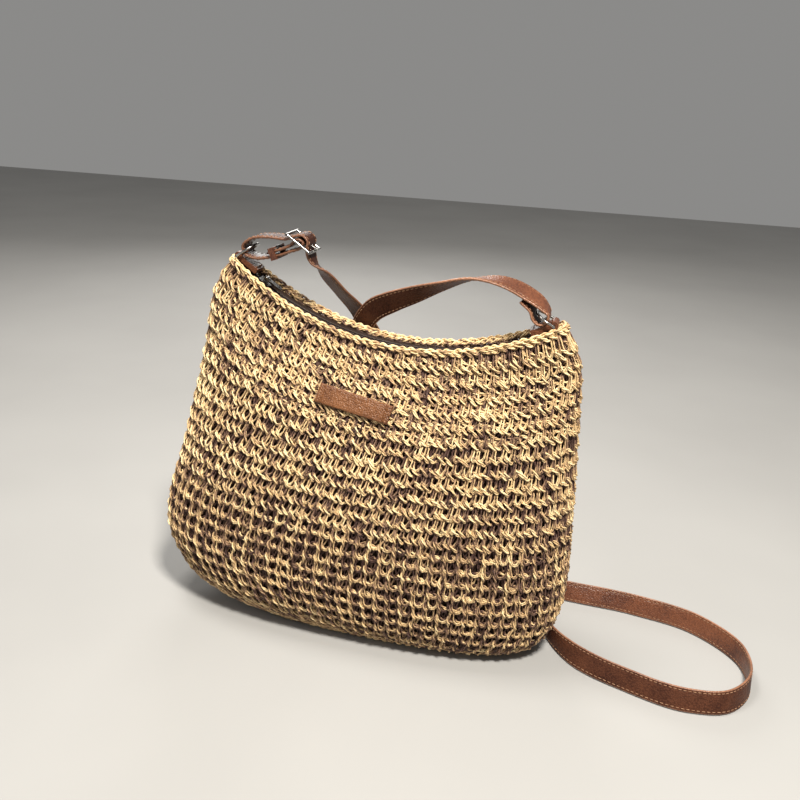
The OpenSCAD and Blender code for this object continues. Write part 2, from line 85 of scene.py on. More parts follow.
def make_camera():
    sy, cy = math.sin(CAMERA_YAW), math.cos(CAMERA_YAW)
    sp, cp = math.sin(CAMERA_PITCH), math.cos(CAMERA_PITCH)
    sr, cr = math.sin(CAMERA_ROLL), math.cos(CAMERA_ROLL)
    forward = np.array([-sy * cp, cy * cp, -sp])
    level = np.array([cy, sy, 0.0])
    up0 = np.cross(level, forward)
    right = cr * level + sr * up0
    up = -sr * level + cr * up0
    data = bpy.data.cameras.new("camera")
    data.lens = CAMERA_LENS
    data.sensor_width = CAMERA_SENSOR
    data.clip_start = 0.01
    camera = link("camera", data)
    camera.matrix_world = axes_matrix(right, up, -forward, CAMERA_AT)
    bpy.context.scene.camera = camera


make_camera()


# ------------------------------------------------------------------ materials
class Nodes:
    """A material's nodes, with short calls to add and join them."""

    def __init__(self, name, color, roughness, metallic=0.0, specular=0.5):
        self.mat = bpy.data.materials.new(name)
        self.mat.use_nodes = True
        self.tree = self.mat.node_tree
        self.bsdf = self.tree.nodes["Principled BSDF"]
        self.bsdf.inputs["Base Color"].default_value = (*color, 1)
        self.bsdf.inputs["Roughness"].default_value = roughness
        self.bsdf.inputs["Metallic"].default_value = metallic
        self.bsdf.inputs["Specular IOR Level"].default_value = specular

    def add(self, kind, inputs=None, **props):
        node = self.tree.nodes.new(kind)
        for key, value in props.items():
            setattr(node, key, value)
        for key, value in (inputs or {}).items():
            if isinstance(value, bpy.types.NodeSocket):
                self.tree.links.new(value, node.inputs[key])
            else:
                node.inputs[key].default_value = value
        return node

    def coords(self, scale=(1, 1, 1), source="Object"):
        tex = self.add("ShaderNodeTexCoord")
        return self.add("ShaderNodeMapping", {"Vector": tex.outputs[source], "Scale": scale}).outputs[0]

    def noise(self, vector, scale, detail=3.0, rough=0.5):
        return self.add("ShaderNodeTexNoise", {
            "Vector": vector, "Scale": scale, "Detail": detail, "Roughness": rough}).outputs["Fac"]

    def ramp(self, fac, stops):
        node = self.add("ShaderNodeValToRGB", {"Fac": fac})
        node.color_ramp.elements[0].position = stops[0][0]
        node.color_ramp.elements[0].color = (*stops[0][1], 1)
        node.color_ramp.elements[1].position = stops[-1][0]
        node.color_ramp.elements[1].color = (*stops[-1][1], 1)
        for at, color in stops[1:-1]:
            node.color_ramp.elements.new(at).color = (*color, 1)
        return node.outputs["Color"]

    def math(self, op, a, b=0.0, c=0.0):
        return self.add("ShaderNodeMath", {0: a, 1: b, 2: c}, operation=op).outputs[0]

    def to(self, socket, output):
        """Joins an output to a socket of the material's shader."""
        self.tree.links.new(output, self.bsdf.inputs[socket])

    def bump(self, height, strength, distance):
        node = self.add("ShaderNodeBump", {"Height": height, "Strength": strength, "Distance": distance})
        self.to("Normal", node.outputs[0])


def straw_material():
    """Twisted paper yarn; the "tone" attribute runs from brown at 0 to pale straw at 1, and carries painted
    shade as well as random tone.
    """
    n = Nodes("straw_yarn", (0.55, 0.36, 0.17), 0.62, specular=0.35)
    # Painted shade: the tone read here is set lower on strands that lie deep in the crochet, on rounds low
    # on the body and under the foot
    tone = n.add("ShaderNodeAttribute", attribute_name="tone").outputs["Fac"]
    space = n.coords()
    patches = n.noise(space, 170.0, 3.0, 0.6)
    streaks = n.noise(n.coords((2.2, 3.0, 1.0), "UV"), 3.0, 3.0, 0.6)
    mixed = n.math("MULTIPLY_ADD", patches, 0.75, n.math("MULTIPLY", tone, 0.8))
    mixed = n.math("MULTIPLY_ADD", streaks, 0.6, mixed)
    mixed = n.math("SUBTRACT", mixed, 0.60)
    n.to("Base Color", n.ramp(mixed, [
        (0.20, (0.085, 0.043, 0.034)), (0.36, (0.28, 0.165, 0.105)), (0.50, (0.55, 0.36, 0.19)),
        (0.64, (0.78, 0.545, 0.275)), (0.84, (0.93, 0.72, 0.41))]))
    n.to("Roughness", n.math("MULTIPLY_ADD", streaks, 0.3, 0.32))
    fibres = n.noise(n.coords((1.5, 14.0, 1.0), "UV"), 4.0, 2.0, 0.7)
    n.bump(fibres, 0.6, 0.0006)
    return n.mat


def leather_material(name, dark, light, rough, grain=780.0, relief=0.7, specular=0.42):
    """Pebbled leather; the "tone" attribute darkens it with painted shade."""
    n = Nodes(name, light, rough, specular=specular)
    space = n.coords()
    painted_shade_tone = n.add("ShaderNodeAttribute", attribute_name="tone").outputs["Fac"]
    cells = n.add("ShaderNodeTexVoronoi", {
        "Vector": space, "Scale": grain, "Randomness": 1.0}).outputs["Distance"]
    broad = n.noise(space, 40.0, 4.0, 0.6)
    fine = n.noise(space, 600.0, 2.0, 0.5)
    mixed = n.math("MULTIPLY_ADD", cells, 0.35, n.math("MULTIPLY", broad, 0.75))
    # Painted shade: a higher tone moves the colour towards the dark end
    mixed = n.math("MULTIPLY_ADD", painted_shade_tone, 0.4, mixed)
    n.to("Base Color", n.ramp(mixed, [(0.3, light), (0.75, dark)]))
    n.to("Roughness", n.math("MULTIPLY_ADD", broad, 0.25, rough - 0.12))
    height = n.math("MULTIPLY_ADD", cells, -1.0, n.math("MULTIPLY", fine, 0.5))
    n.bump(height, relief, 0.0005)
    return n.mat


def cloth_material(name, dark, light, pitch):
    """Plain weave; pitch is the wave texture's scale."""
    n = Nodes(name, light, 0.85, specular=0.2)
    space = n.coords()
    wave = {"Vector": space, "Scale": pitch, "Distortion": 1.0, "Detail": 1.0}
    warp, weft = (n.add("ShaderNodeTexWave", wave, bands_direction=d).outputs["Fac"] for d in "XZ")
    weave = n.math("MULTIPLY", warp, weft)
    broad = n.noise(space, 30.0, 3.0, 0.6)
    n.to("Base Color", n.ramp(n.math("MULTIPLY_ADD", weave, 0.4, n.math("MULTIPLY", broad, 0.7)),
                              [(0.2, dark), (0.8, light)]))
    n.bump(weave, 0.5, 0.0003)
    return n.mat


def metal_material():
    n = Nodes("plated_metal", (0.5, 0.49, 0.48), 0.2, metallic=1.0)
    space = n.coords()
    wear = n.noise(space, 260.0, 4.0, 0.65)
    n.to("Roughness", n.math("MULTIPLY_ADD", wear, 0.28, 0.08))
    n.to("Base Color", n.ramp(n.noise(space, 90.0, 3.0, 0.5),
                              [(0.3, (0.22, 0.21, 0.20)), (0.7, (0.45, 0.44, 0.42))]))
    n.bump(wear, 0.08, 0.0002)
    return n.mat


def thread_material(name, color, light):
    n = Nodes(name, color, 0.6, specular=0.3)
    twist = n.add("ShaderNodeTexWave", {"Vector": n.coords((1.0, 0.35, 1.0), "UV"), "Scale": 14.0},
                  bands_direction="DIAGONAL").outputs["Fac"]
    n.to("Base Color", n.ramp(n.noise(n.coords(), 300.0, 2.0, 0.5), [(0.35, color), (0.7, light)]))
    n.bump(twist, 0.5, 0.0002)
    return n.mat


def plastic_material():
    n = Nodes("coil_plastic", (0.035, 0.022, 0.017), 0.38, specular=0.5)
    grain = n.noise(n.coords(), 500.0, 2.0, 0.5)
    n.to("Roughness", n.math("MULTIPLY_ADD", grain, 0.2, 0.28))
    n.bump(grain, 0.2, 0.0001)
    return n.mat


STRAW = straw_material()
LEATHER = leather_material("leather", (0.060, 0.019, 0.010), (0.19, 0.068, 0.031), 0.33)
LEATHER_LABEL = leather_material("label_leather", (0.075, 0.027, 0.011), (0.24, 0.096, 0.034), 0.38,
                                 grain=900.0, relief=0.9, specular=0.3)
LEATHER_IN = leather_material("leather_inner_face", (0.035, 0.012, 0.007), (0.11, 0.040, 0.020), 0.45,
                              specular=0.12)
LEATHER_EDGE = leather_material("leather_painted_edge", (0.15, 0.065, 0.035), (0.36, 0.17, 0.095), 0.35)
LINING = cloth_material("lining_cloth", (0.016, 0.009, 0.006), (0.05, 0.028, 0.018), 900.0)
TAPE = cloth_material("zip_tape", (0.012, 0.007, 0.005), (0.045, 0.026, 0.018), 1300.0)
METAL = metal_material()
THREAD = thread_material("strap_thread", (0.23, 0.115, 0.062), (0.40, 0.225, 0.13))
PLASTIC = plastic_material()


# ------------------------------------------------------------------ mesh helpers
def mesh_object(name, verts, faces, mats, tone=None, uv=None, face_mat=None):
    """A smooth mesh from arrays: verts in millimetres, faces as rows of 3 or 4 corners."""
    verts = np.asarray(verts, np.float32) * MM
    faces = np.asarray(faces, np.int32)
    n, k = faces.shape
    mesh = bpy.data.meshes.new(name)
    mesh.vertices.add(len(verts))
    mesh.vertices.foreach_set("co", verts.ravel())
    mesh.loops.add(n * k)
    mesh.loops.foreach_set("vertex_index", faces.ravel())
    mesh.polygons.add(n)
    mesh.polygons.foreach_set("loop_start", np.arange(n, dtype=np.int32) * k)
    mesh.polygons.foreach_set("loop_total", np.full(n, k, np.int32))
    mesh.update(calc_edges=True)
    for m in mats:
        mesh.materials.append(m)
    if face_mat is not None:
        mesh.polygons.foreach_set("material_index", np.asarray(face_mat, np.int32))
    if tone is not None:
        mesh.attributes.new("tone", "FLOAT", "POINT").data.foreach_set("value", np.asarray(tone, np.float32))
    if uv is not None:
        layer = mesh.uv_layers.new(name="along")
        layer.data.foreach_set("uv", np.asarray(uv, np.float32)[faces.ravel()].ravel())
    mesh.polygons.foreach_set("use_smooth", np.ones(n, bool))
    return link(name, mesh)


def grid_quads(rows, cols, close_rows=False, close_cols=False, flip=False):
    """Faces between the neighbours in a grid of points, as rows of 4 corners."""
    i = np.arange(rows if close_rows else rows - 1)[:, None]
    k = np.arange(cols if close_cols else cols - 1)[None, :]
    j, m = (i + 1) % rows, (k + 1) % cols
    quads = np.stack([i * cols + k, j * cols + k, j * cols + m, i * cols + m], -1).reshape(-1, 4)
    return quads[:, [0, 3, 2, 1]] if flip else quads


TIP_R = 0.02


class Tubes:
    """Many tubes gathered into one mesh. An open tube's ends are drawn in to a point."""

    def __init__(self):
        self.verts, self.faces, self.tones, self.uvs, self.count = [], [], [], [], 0

    def add(self, path, normal, radius, sides, closed=False, flat=1.0, turns=0.0, tone=0.5):
        """A tube along path; flat squashes its section, which turns by turns radians a millimetre."""
        path = np.asarray(path, float)
        n = len(path)
        radius = np.array(np.broadcast_to(np.asarray(radius, float), (n,)))
        if closed:
            tangent = unit(np.roll(path, -1, 0) - np.roll(path, 1, 0))
        else:
            tangent = unit(np.gradient(path, axis=0))
            radius[0] = radius[-1] = TIP_R
        normal = np.broadcast_to(normal, path.shape)
        normal = unit(normal - (normal * tangent).sum(1)[:, None] * tangent)
        side = np.cross(tangent, normal)
        steps = along(path)
        theta = np.arange(sides) * TURN / sides
        twist = (steps * turns)[:, None]
        ca, sa = np.cos(theta)[None, :], flat * np.sin(theta)[None, :]
        u = radius[:, None] * (ca * np.cos(twist) - sa * np.sin(twist))
        v = radius[:, None] * (ca * np.sin(twist) + sa * np.cos(twist))
        ring = path[:, None, :] + u[:, :, None] * side[:, None, :] + v[:, :, None] * normal[:, None, :]
        self.verts.append(ring.reshape(-1, 3))
        self.faces.append(grid_quads(n, sides, close_rows=closed, close_cols=True) + self.count)
        self.tones.append(np.repeat(np.broadcast_to(np.asarray(tone, float), (n,)), sides))
        self.uvs.append(np.stack([np.repeat(steps * 0.1, sides), np.tile(np.arange(sides) / sides, n)], -1))
        self.count += n * sides

    def build(self, name, mats):
        return mesh_object(name, np.concatenate(self.verts), np.concatenate(self.faces), mats,
                           tone=np.concatenate(self.tones), uv=np.concatenate(self.uvs))


def place(obj, body, slot, *nodes):
    """Sets a piece's body and hides the CAD nodes that it is shown instead of; slot is not used."""
    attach(obj, body)
    if nodes:
        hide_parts(*nodes)
    return obj


# ------------------------------------------------------------------ strap
RING_STEP = 2.4
# Directions of the strap's width at the route's points
ACROSS = (0, 1, 0)
ON_EDGE = (0, 0, -1)
LEANING = (0, -0.38, -0.92)
# The strap's middle from its folded end at the buckle, round the left ring, through the buckle, down
# behind the bag, round the loop, up behind the bag and over to the right ring
ROUTE = [
    ((-76, 0, 311.2), ACROSS),
    ((-58, 0, 318.4), ACROSS),
    ((-50.8, 0, 323.7), ACROSS),
    ((-47, 0, 321.6), ACROSS),
    ((-49, 0, 318), ACROSS),
    ((-58, 0, 313.8), ACROSS),
    ((-75, 0, 308), ACROSS),
    ((-88, 0, 306.6), ACROSS),
    ((-94.5, 0, 309.2), ACROSS),
    ((-96.4, 0, 315), ACROSS),
    ((-92, 0, 319.6), ACROSS),
    ((-74, 0, 323.4), ACROSS),
    ((-60.5, 0, 323.2), ACROSS),
    ((-54, 0, 325.7), ACROSS),
    ((-47.2, 0, 326.7), ACROSS),
    ((-43.4, 0, 322.6), ACROSS),
    ((-44.4, 0, 316.6), ACROSS),
    ((-43, 0.5, 310), ACROSS),
    ((-34, 5, 297), (-0.39, 0.77, -0.5)),
    ((-23.5, 13, 282), (-0.5, 0.7, -0.5)),
    ((-13.5, 23.5, 267), (-0.65, 0.55, -0.5)),
    ((-6, 33, 250), (-0.8, 0.35, -0.5)),
    ((3, 46, 222), (-0.85, 0.1, -0.5)),
    ((16, 60, 185), (-0.9, 0, -0.4)),
    ((34, 69, 120), (-0.9, 0, -0.4)),
    ((54, 75, 60), (-0.85, 0, -0.5)),
    ((80, 80, 23), (-0.5, 0, -0.85)),
    ((118, 80, 10.4), ON_EDGE),
    ((145, 79.6, 9.3), ON_EDGE),
    ((178, 78, 8.9), LEANING),
    ((240, 75, 8.9), LEANING),
    ((291, 62, 8.9), LEANING),
    ((324, 28, 9), LEANING),
    ((325, -8, 9), LEANING),
    ((306, -33, 8.9), LEANING),
    ((278, -40, 8.9), LEANING),
    ((232, -31, 8.9), LEANING),
    ((187, -10, 8.9), LEANING),
    ((169, 10, 9.2), ON_EDGE),
    ((160, 36, 9.2), ON_EDGE),
    ((138, 60, 9.2), ON_EDGE),
    ((96, 71, 10.6), (-0.1, 0, -0.99)),
    ((46, 74, 30), (-0.5, 0, -0.85)),
    ((12, 70, 80), (-0.9, 0, -0.4)),
    ((-4, 66, 130), (-1, 0, -0.1)),
    ((-14, 52, 190), (-1, 0, 0.1)),
    ((-14, 34, 234), (-0.9, 0, 0.3)),
    ((-7, 20.5, 257), (-0.6, -0.1, 0.8)),
    ((3, 14, 270), (-0.3, -0.15, 0.94)),
    ((19, 7, 280), (-0.35, -0.3, 0.88)),
    ((36, 3, 288), (-0.3, -0.55, 0.76)),
    ((57, 1, 297), (-0.15, -0.85, 0.5)),
    ((82, 0, 305.5), (0, -0.98, 0.2)),
    ((104, 0, 305.5), (-0.1, -0.97, -0.2)),
    ((122, 0, 299), (-0.25, -0.92, -0.25)),
    ((134, 0, 291.5), (-0.2, -0.96, -0.12)),
    ((139, 0, 285.4), (0, -1, 0)),
    ((137.4, 0, 280.2), (0, -1, 0)),
    ((133, 0, 278.4), (0, -1, 0)),
    ((129, 0, 280.8), (0, -1, 0)),
    ((126.6, 0.4, 288.4), (-0.15, -0.97, -0.1)),
    ((120, 0.4, 295.6), (-0.25, -0.92, -0.25)),
]


def strap_lines(step):
    """Points along the strap's middle about step apart, with the tangent and width direction at each."""
    p = np.array([r[0] for r in ROUTE], float)
    w = np.array([r[1] for r in ROUTE], float)
    last = len(p) - 1

    def between(column, i, t):
        a, b, c, d = (column[min(max(i + k, 0), last)] for k in (-1, 0, 1, 2))
        pa, pb, pc, pd = (p[min(max(i + k, 0), last)] for k in (-1, 0, 1, 2))
        d1, d2, d3 = (np.linalg.norm(x) for x in (pb - pa, pc - pb, pd - pc))
        m1 = c - b if d1 == 0 else d2 * ((b - a) / d1 - (c - a) / (d1 + d2) + (c - b) / d2)
        m2 = c - b if d3 == 0 else d2 * ((c - b) / d2 - (d - b) / (d2 + d3) + (d - c) / d3)
        t = t[:, None]
        return ((1 + 2 * t) * (1 - t) ** 2 * b + t * (1 - t) ** 2 * m1
                + t * t * (3 - 2 * t) * c + t * t * (t - 1) * m2)

    points, widths = [], []
    for i in range(last):
        count = max(4, int(np.linalg.norm(p[i + 1] - p[i]) / step))
        t = np.arange(count) / count
        points.append(between(p, i, t))
        widths.append(between(w, i, t))
    points = np.concatenate(points + [p[-1:]])
    widths = np.concatenate(widths + [w[-1:]])
    tangent = unit(np.gradient(points, axis=0))
    widths = unit(widths - (widths * tangent).sum(1)[:, None] * tangent)
    return points, tangent, widths


STRAP_POINTS, STRAP_TANGENT, STRAP_ACROSS = strap_lines(RING_STEP)
STRAP_NORMAL = np.cross(STRAP_TANGENT, STRAP_ACROSS)
STRAP_STEPS = along(STRAP_POINTS)
STRAP_LENGTH = float(STRAP_STEPS[-1])

# A quarter of the section's outline, from the middle of one face to the edge: across, out, and whether
# the point is on the painted edge. The dip at STITCH_LINE is the line of stitches.
STITCH_LINE = 6.9
STRAP_SECTION = [
    (0.0, 1.10, 0), (3.6, 1.10, 0), (5.9, 1.04, 0), (STITCH_LINE, 0.80, 0), (7.7, 0.92, 0), (8.3, 0.90, 1),
    (8.8, 0.62, 1), (9.0, 0.2, 1)]
OUTER_FACE, INNER_FACE, EDGE = 0, 1, 2
# Painted shade: the strap is painted darker from its folded end, through the buckle and down behind the bag,
# to the distance set below
PAINTED_SHADE_END = 420.0
PAINTED_SHADE_FADE = 120.0
END_SHRINK = 0.97


def make_strap():
    outline = []
    for across, out in ((1, 1), (1, -1), (-1, -1), (-1, 1)):
        face = OUTER_FACE if out > 0 else INNER_FACE
        quarter = [(across * u, out * v, EDGE if e else face) for u, v, e in STRAP_SECTION]
        outline += quarter if across == out else quarter[:0:-1]
    us = np.array([o[0] for o in outline])
    vs = np.array([o[1] for o in outline])
    count = len(outline)
    n = len(STRAP_POINTS)
    shrink = np.ones(n)
    shrink[[0, -1]] = END_SHRINK
    # The cut edges wander a little
    wave = 1 + 0.012 * np.sin(np.arange(n) * 0.31) * np.sin(np.arange(n) * 0.083)
    ring = (STRAP_POINTS[:, None, :]
            + (us[None, :] * (shrink * wave)[:, None])[:, :, None] * STRAP_ACROSS[:, None, :]
            - (vs[None, :] * shrink[:, None])[:, :, None] * STRAP_NORMAL[:, None, :])
    finish = []
    for a in range(count):
        b = (a + 1) % count
        if outline[a][2] == EDGE and outline[b][2] == EDGE:
            finish.append(EDGE)
        else:
            finish.append(OUTER_FACE if vs[a] + vs[b] > 0 else INNER_FACE)
    # Ends, closed with strips of quads between the two faces
    half = count // 2
    ends = []
    for base, flip in ((0, False), ((n - 1) * count, True)):
        for a in range(half - 1):
            row = [base + a, base + (count - 1 - a), base + (count - 2 - a), base + a + 1]
            ends.append(row if flip else row[::-1])
    quads = np.concatenate([grid_quads(n, count, close_cols=True, flip=True), np.array(ends)])
    face_mat = np.concatenate([np.tile(finish, n - 1), np.full(len(ends), EDGE)])
    uv = np.stack([np.repeat(STRAP_STEPS * 0.01, count), np.tile(np.arange(count) / count, n)], -1)
    # Painted shade, full near the buckle and fading out down behind the bag
    painted_shade_tone = np.clip((PAINTED_SHADE_END - STRAP_STEPS) / PAINTED_SHADE_FADE, 0, 1)
    return mesh_object("strap_leather", ring.reshape(-1, 3), quads, [LEATHER, LEATHER_IN, LEATHER_EDGE],
                       tone=np.repeat(painted_shade_tone, count), uv=uv, face_mat=face_mat)


def make_strap_stitches():
    """Thread along both edges of both faces: short stitches that rise out of their holes."""
    tubes = Tubes()
    pitch, length, thread_r = 3.7, 2.9, 0.33
    starts = np.arange(2.0, STRAP_LENGTH - 4.0, pitch)
    share = np.array([0.0, 0.2, 0.5, 0.8, 1.0])
    rise = np.array([-0.25, 0.12, 0.2, 0.12, -0.25])
    for edge in (-1, 1):
        for face in (-1, 1):
            for start in starts:
                at = start + share * length
                p = columns_at(at, STRAP_STEPS, STRAP_POINTS)
                w = unit(columns_at(at, STRAP_STEPS, STRAP_ACROSS))
                n = unit(columns_at(at, STRAP_STEPS, STRAP_NORMAL))
                path = p + edge * STITCH_LINE * w + face * (0.8 + rise)[:, None] * n
                tubes.add(path, face * n, thread_r, 5)
    return tubes.build("strap_stitching", [THREAD])


strap = place(make_strap(), "bag", "leather", "strap")
strap_stitches = place(make_strap_stitches(), "bag", "thread")

# ------------------------------------------------------------------ body form
BODY_W, BODY_D = 352.0, 116.0
MOUTH_Z, LEAN, MOUTH_TILT, MOUTH_SAG, MOUTH_HALF = 295.0, 23.5, 6.1, 42.0, 16.0
# Sections from the foot (0) to the mouth (1). Each row is: station, shares of the widest width and depth,
# shares of the mouth's lean, height, tilt and sag, and the section's squareness (2 is an ellipse)
STATIONS = np.array([
    (0.00, 0.66, 0.58, 0.70, 0.00, 0.00, 0.00, 2.6),
    (0.05, 0.85, 0.78, 0.28, 0.04, 0.33, 0.00, 2.6),
    (0.13, 0.95, 0.93, 0.14, 0.11, 0.42, 0.02, 2.5),
    (0.26, 1.00, 1.00, 0.06, 0.23, 0.50, 0.10, 2.4),
    (0.52, 0.94, 0.92, 0.45, 0.48, 0.66, 0.33, 2.3),
    (0.78, 0.87, 0.64, 0.79, 0.75, 0.85, 0.64, 2.2),
    (0.92, 0.83, 0.38, 0.91, 0.90, 0.95, 0.86, 3.0),
    (1.00, 0.74, MOUTH_HALF / (BODY_D / 2), 1.00, 1.00, 1.00, 1.00, 5.0)])


def form(column, v):
    """A column of STATIONS at stations v, as a smooth curve through the rows."""
    x, y = STATIONS[:, 0], STATIONS[:, column]
    last = len(x) - 1
    slopes = np.array([(y[min(i + 1, last)] - y[max(i - 1, 0)]) / (x[min(i + 1, last)] - x[max(i - 1, 0)])
                       for i in range(last + 1)])
    i = np.clip(np.searchsorted(x, v, side="right") - 1, 0, last - 1)
    h = x[i + 1] - x[i]
    t = (v - x[i]) / h
    return ((1 + 2 * t) * (1 - t) ** 2 * y[i] + t * (1 - t) ** 2 * h * slopes[i]
            + t * t * (3 - 2 * t) * y[i + 1] + t * t * (t - 1) * h * slopes[i + 1])


def power(base, p):
    """A power that keeps the sign."""
    return np.sign(base) * np.abs(base) ** p


def skin(a, v, inset=0.0, lift=0.0):
    """Points on the body at angles a (radians) and stations v."""
    a, v = np.broadcast_arrays(np.asarray(a, float), np.asarray(v, float))
    half_w, half_d = form(1, v) * BODY_W / 2, form(2, v) * BODY_D / 2
    p = 2 / form(7, v)
    x = (half_w - inset) * power(np.cos(a), p)
    y = (half_d - inset) * power(np.sin(a), p)
    z = -form(6, v) * MOUTH_SAG * (1 - (x / half_w) ** 2) + lift
    tilt = np.radians(form(5, v) * MOUTH_TILT)
    return np.stack([form(3, v) * LEAN + x * np.cos(tilt) + z * np.sin(tilt), y,
                     form(4, v) * MOUTH_Z - x * np.sin(tilt) + z * np.cos(tilt)], -1)


AROUND = 960


def even_ring(points):
    """A closed ring with its points at even distances, from its first point round."""
    closed = np.concatenate([points, points[:1]])
    steps = along(closed)
    return columns_at(np.arange(AROUND) / AROUND * steps[-1], steps, closed)


# Angles run from the left corner along the front to the right corner and back along the back
ANGLES = np.pi + np.linspace(0, TURN, 2400, endpoint=False)


class Skin:
    """The body's surface as a grid, from the mouth's edge down the side and under the foot.
    Down is measured in millimetres along the middle of the front."""

    def __init__(self):
        rings = [even_ring(skin(ANGLES, v)) for v in np.linspace(1.0, 0.0, 220)]
        self.side_rings = len(rings)
        for inset in np.linspace(1.5, 31.0, 20):
            rings.append(even_ring(skin(ANGLES, 0.0, inset)))
        self.grid = np.array(rings)
        front = self.grid[:, AROUND // 4]
        self.down = along(front)
        self.side_down = self.down[self.side_rings - 1]
        d_down = np.gradient(self.grid, axis=0)
        d_round = np.roll(self.grid, -1, 1) - np.roll(self.grid, 1, 1)
        self.normals = unit(np.cross(d_down, d_round))

    def at(self, turn, down):
        """Point and outward normal at turn (0 to 1 from the left corner) and down (mm)."""
        turn, down = np.broadcast_arrays(np.asarray(turn, float), np.asarray(down, float))
        row = np.interp(down, self.down, np.arange(len(self.down)))
        r0 = np.clip(row.astype(int), 0, len(self.down) - 2)
        fr = (row - r0)[..., None]
        col = (turn % 1.0) * AROUND
        c0 = col.astype(int) % AROUND
        c1 = (c0 + 1) % AROUND
        fc = (col - np.floor(col))[..., None]

        def sample(g):
            return ((g[r0, c0] * (1 - fc) + g[r0, c1] * fc) * (1 - fr)
                    + (g[r0 + 1, c0] * (1 - fc) + g[r0 + 1, c1] * fc) * fr)

        return sample(self.grid), unit(sample(self.normals))


BODY = Skin()

# ------------------------------------------------------------------ crochet
# Loops in a low round, and the number of rounds on the side; the first DENSE_ROWS have a second ridge
STITCHES = 78
ROWS = 24
ROWS_PER_PIECE = 2
DENSE_ROWS = 6
FIRST_DOWN = 3.0
PITCH = (BODY.side_down - FIRST_DOWN) / (ROWS + 0.25)
# Shares of the side's height: where the low rounds end, and how far the change takes
LOW_END, LOW_FADE = 0.35, 0.3
# Width of a fine loop, and the turns of the ridges in the first round
FINE_PITCH = 6.2
FIRST_TURNS = 46
# Under the foot: a loop's width and height, and the distance between rounds
FOOT_STITCH, FOOT_PITCH, FOOT_STEP = 9.5, 8.0, 9.0
# A ply's radius, its distance from the strand's middle and the sides of its tube
PLY_R = 0.66
PLY_OUT = 0.66
PLY_SIDES = 5
RIB_PLY_R = 0.78


def periodic(values, t):
    """Smooth values that repeat, one for each whole t."""
    n = len(values)
    i = np.floor(t).astype(int) % n
    f = t - np.floor(t)
    f = f * f * (3 - 2 * f)
    return values[i] * (1 - f) + values[(i + 1) % n] * f


def lay(tubes, turn, down, depth, plies, out, radius, twist, tone, closed=True):
    """A strand of twisted plies on the body; turn is a share of the way round, down and depth are in mm.
    twist is the twist's angle at each point, as a number of turns."""
    point, normal = BODY.at(turn, down)
    center = point + depth[:, None] * normal
    if closed:
        tangent = unit(np.roll(center, -1, 0) - np.roll(center, 1, 0))
    else:
        tangent = unit(np.gradient(center, axis=0))
    side = unit(np.cross(tangent, normal))
    for ply in range(plies):
        angle = TURN * (twist + ply / plies)
        path = center + out * (np.cos(angle)[:, None] * side + 0.9 * np.sin(angle)[:, None] * normal)
        tubes.add(path, normal, radius, PLY_SIDES, closed=closed, flat=0.82, turns=0.4,
                  tone=tone + 0.14 * (ply - 0.4))


def wobble(size, t, count):
    """Smooth random values, one draw for each whole t."""
    return size * periodic(rng.normal(size=count), t)


def posts(tubes, down, pitch, stitches, samples, lean, rough, size, shade):
    """The round's hanging loops: U shapes whose bottoms come forward, and a plain strand behind them.
    lean slants the loops, rough makes them irregular, size is their height and shade is painted shade added
    to their tone."""
    t = np.arange(stitches * samples) / samples
    phase = TURN * t
    y = -(size + wobble(0.05 * rough, t + 0.5, stitches)) * np.cos(phase)
    x = t + 0.09 * np.sin(2 * phase) + 0.10 * np.sin(phase) + wobble(0.08 * rough, t + 0.5, stitches)
    x = x + lean * y
    depth = -2.3 + 1.15 * np.cos(phase) + wobble(0.25, t, stitches)
    # Painted shade: the loops get lower tones where they go deep and higher ones where their bottoms come
    # forward, plus random tone
    tone = 0.42 + shade + wobble(0.22, t, stitches) + 0.2 * np.cos(phase)
    lay(tubes, x / stitches, down - y * pitch, depth, 2, PLY_OUT, PLY_R, t, tone)
    # The plain strand behind is given a dark tone: painted shade
    t = np.arange(stitches * 6) / 6
    y = (0.42 + wobble(0.08, t, stitches)) * np.cos(TURN * t)
    lay(tubes, (t + lean * y) / stitches, down - y * pitch, np.full(len(t), -3.9), 1, 0.2, 1.0, t,
        -0.04 + wobble(0.12, t, stitches))


def inner_loops(tubes, down, pitch, stitches, rough, shade):
    """Narrow loops behind the wide ones, which half fill the gaps."""
    t = np.arange(stitches * 8) / 8
    phase = TURN * t
    y = -(0.45 + wobble(0.06 * rough, t, stitches)) * np.cos(phase)
    x = t + wobble(0.16 * rough, t, stitches) + 0.25 * y
    depth = -3.7 + 0.5 * np.cos(phase) + wobble(0.2, t, stitches)
    # Painted shade: these deep loops get a low tone, plus random tone
    lay(tubes, x / stitches, down - (y + 0.1) * pitch, depth, 2, 0.58, 0.6, t * 1.5,
        0.36 + shade + wobble(0.2, t, stitches))


def ridge(tubes, down, turns, amplitude, depth, swing, rough, shade):
    """Two strands of two plies, wound round each other so that slants show in front. amplitude is half
    the ridge's height, depth its middle's depth and swing how far the strands go in and out."""
    n = turns * 15
    t = np.arange(n) / n
    count = max(turns, 8)
    for strand in (0.0, 0.5):
        wind = TURN * (turns * t + strand) + wobble(0.35 * rough, t * count, count)
        across = (amplitude + wobble(0.16 * amplitude, t * count, count)) * np.sin(wind)
        out = depth + swing * np.cos(wind) + wobble(0.15, t * count, count)
        # Painted shade: a strand is lighter where it comes out and darker where it goes in, plus random tone
        tone = 0.56 + shade + wobble(0.22, t * count, count) + 0.28 * np.cos(wind)
        x = t + 0.035 * np.sin(2 * wind) / turns
        lay(tubes, x, down + across + wobble(0.35 * rough, t * count, count), out, 2, PLY_OUT, PLY_R,
            turns * t * 1.5 + strand, tone)


def around(down):
    """The body's girth at down."""
    ring, _ = BODY.at(np.arange(200) / 200, down)
    return np.linalg.norm(np.roll(ring, -1, 0) - ring, axis=1).sum()


def place_crochet(tubes, name):
    place(tubes.build(name, [STRAW]), "bag", "straw", "crochet_shell")


